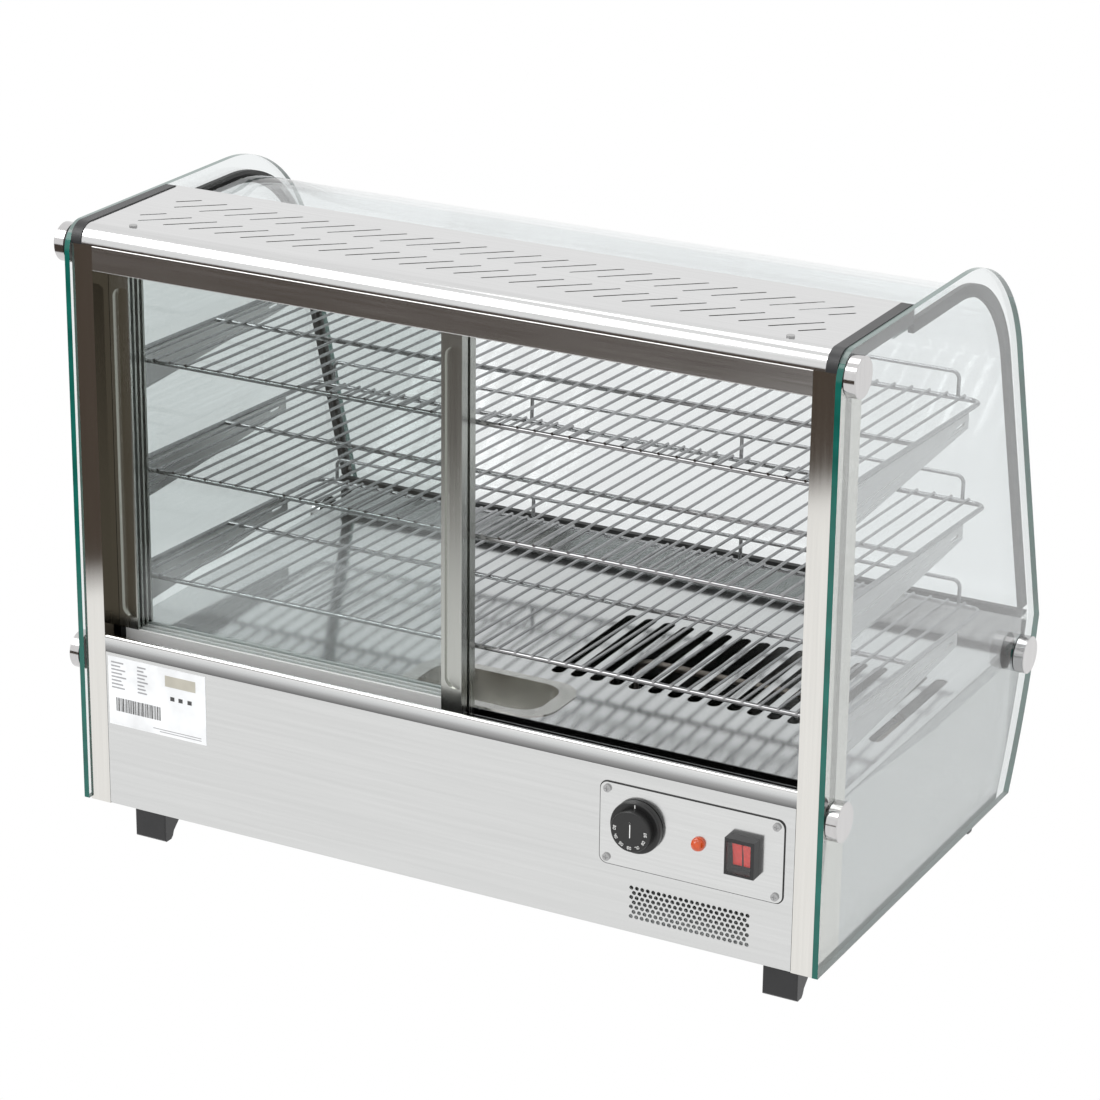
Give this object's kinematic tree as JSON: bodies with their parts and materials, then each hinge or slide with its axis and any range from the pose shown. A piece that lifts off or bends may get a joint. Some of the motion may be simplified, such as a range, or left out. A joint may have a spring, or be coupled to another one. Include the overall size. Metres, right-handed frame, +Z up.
{
  "type": "hot food display case",
  "caption": "Countertop heated display case: curved glass front, glass sides, sliding rear doors, tilted wire shelves, steel base with thermostat, switches and vents.",
  "frame": {"origin": "centre of the bounding box at the foot of the feet", "axes": "+Z up, +Y towards the curved customer glass, -Y the operator side with doors and controls, +X to the operator's right"},
  "size_m": [0.868, 0.5638, 0.6586],
  "materials": {
    "stainless_bright": "bright annealed, near mirror",
    "stainless_satin": "satin",
    "chrome_wire": "polished",
    "polished_steel": "polished",
    "door_aluminium": "satin anodised",
    "clear_glass": "clear",
    "door_glass_m": "clear",
    "black_plastic": "satin moulded",
    "black_rubber": "matte",
    "knob_plastic": "semi gloss",
    "amber_lens": "translucent gloss",
    "red_rocker": "translucent gloss",
    "clear_hood": "clear moulded",
    "label_foil": "satin",
    "element_steel": "heat darkened",
    "lamp_glass": "frosted",
    "screw_steel": "zinc"
  },
  "bodies": {
    "cabinet": {"base_pan": "stainless_bright", "rear_panel": "stainless_bright", "base_side_left": "stainless_bright", "base_side_right": "stainless_bright", "base_front_panel": "stainless_bright", "deck_plate": "stainless_bright", "rear_post_left": "stainless_bright", "rear_post_right": "stainless_bright", "control_plate": "stainless_bright", "door_sill": "stainless_bright", "top_rail": "stainless_satin", "top_cover": "stainless_satin", "ceiling_plate": "stainless_satin", "brackets_top": "stainless_satin", "brackets_middle": "stainless_satin", "brackets_lower": "stainless_satin", "fixing_caps": "polished_steel", "fixing_washers": "black_rubber", "cover_screws": "screw_steel", "plate_screws": "screw_steel", "cover_trim_left": "black_plastic", "cover_trim_right": "black_plastic", "glass_gasket_left": "black_rubber", "glass_gasket_right": "black_rubber", "front_seat_strip": "black_rubber", "side_glass_left": "clear_glass", "side_glass_right": "clear_glass", "front_glass": "clear_glass", "foot_front_left": "black_plastic", "foot_front_right": "black_plastic", "foot_rear_left": "black_plastic", "foot_rear_right": "black_plastic", "thermostat_body": "black_plastic", "pilot_lamp": "amber_lens", "switch_housing": "black_plastic", "switch_hood": "clear_hood", "rating_label": "label_foil", "heating_element": "element_steel", "lamp_tube": "lamp_glass", "cable_gland": "black_plastic"},
    "door_outer": {"outer_door_stile_left": "door_aluminium", "outer_door_stile_right": "door_aluminium", "outer_door_rail_top": "door_aluminium", "outer_door_rail_bottom": "door_aluminium", "outer_door_glass": "door_glass_m", "outer_door_glides": "black_plastic"},
    "door_inner": {"inner_door_stile_left": "door_aluminium", "inner_door_stile_right": "door_aluminium", "inner_door_rail_top": "door_aluminium", "inner_door_rail_bottom": "door_aluminium", "inner_door_glass": "door_glass_m", "inner_door_glides": "black_plastic"},
    "knob": {"thermostat_knob": "knob_plastic", "thermostat_shaft": "screw_steel"},
    "rocker_a": {"rocker_left": "red_rocker"},
    "rocker_b": {"rocker_right": "red_rocker"},
    "shelf_a": {"shelf_top": "chrome_wire"},
    "shelf_b": {"shelf_middle": "chrome_wire"},
    "shelf_c": {"shelf_lower": "chrome_wire"},
    "tray": {"water_tray": "stainless_bright"}
  },
  "joints": [
    {"name": "outer_door_slide", "type": "slide", "parent": "cabinet", "child": "door_outer", "axis": [1, 0, 0], "range_m": [0, 0.376]},
    {"name": "inner_door_slide", "type": "slide", "parent": "cabinet", "child": "door_inner", "axis": [1, 0, 0], "range_m": [0, 0.376]},
    {"name": "thermostat_turn", "type": "hinge", "parent": "cabinet", "child": "knob", "pos_m": [0.226, -0.263, 0.15], "axis": [0, 1, 0], "range_deg": [0, 270]},
    {"name": "rocker_left_tilt", "type": "hinge", "parent": "cabinet", "child": "rocker_a", "pos_m": [0.3334, -0.262, 0.146], "axis": [1, 0, 0], "range_deg": [-8, 0]},
    {"name": "rocker_right_tilt", "type": "hinge", "parent": "cabinet", "child": "rocker_b", "pos_m": [0.3446, -0.262, 0.146], "axis": [1, 0, 0], "range_deg": [-8, 0]},
    {"name": "top_shelf_lift", "type": "slide", "parent": "cabinet", "child": "shelf_a", "axis": [0, 0, 1], "range_m": [0, 0.04]},
    {"name": "middle_shelf_lift", "type": "slide", "parent": "cabinet", "child": "shelf_b", "axis": [0, 0, 1], "range_m": [0, 0.04]},
    {"name": "lower_shelf_lift", "type": "slide", "parent": "cabinet", "child": "shelf_c", "axis": [0, 0, 1], "range_m": [0, 0.04]},
    {"name": "tray_lift", "type": "slide", "parent": "cabinet", "child": "tray", "axis": [0, 0, 1], "range_m": [0, 0.04]}
  ]
}
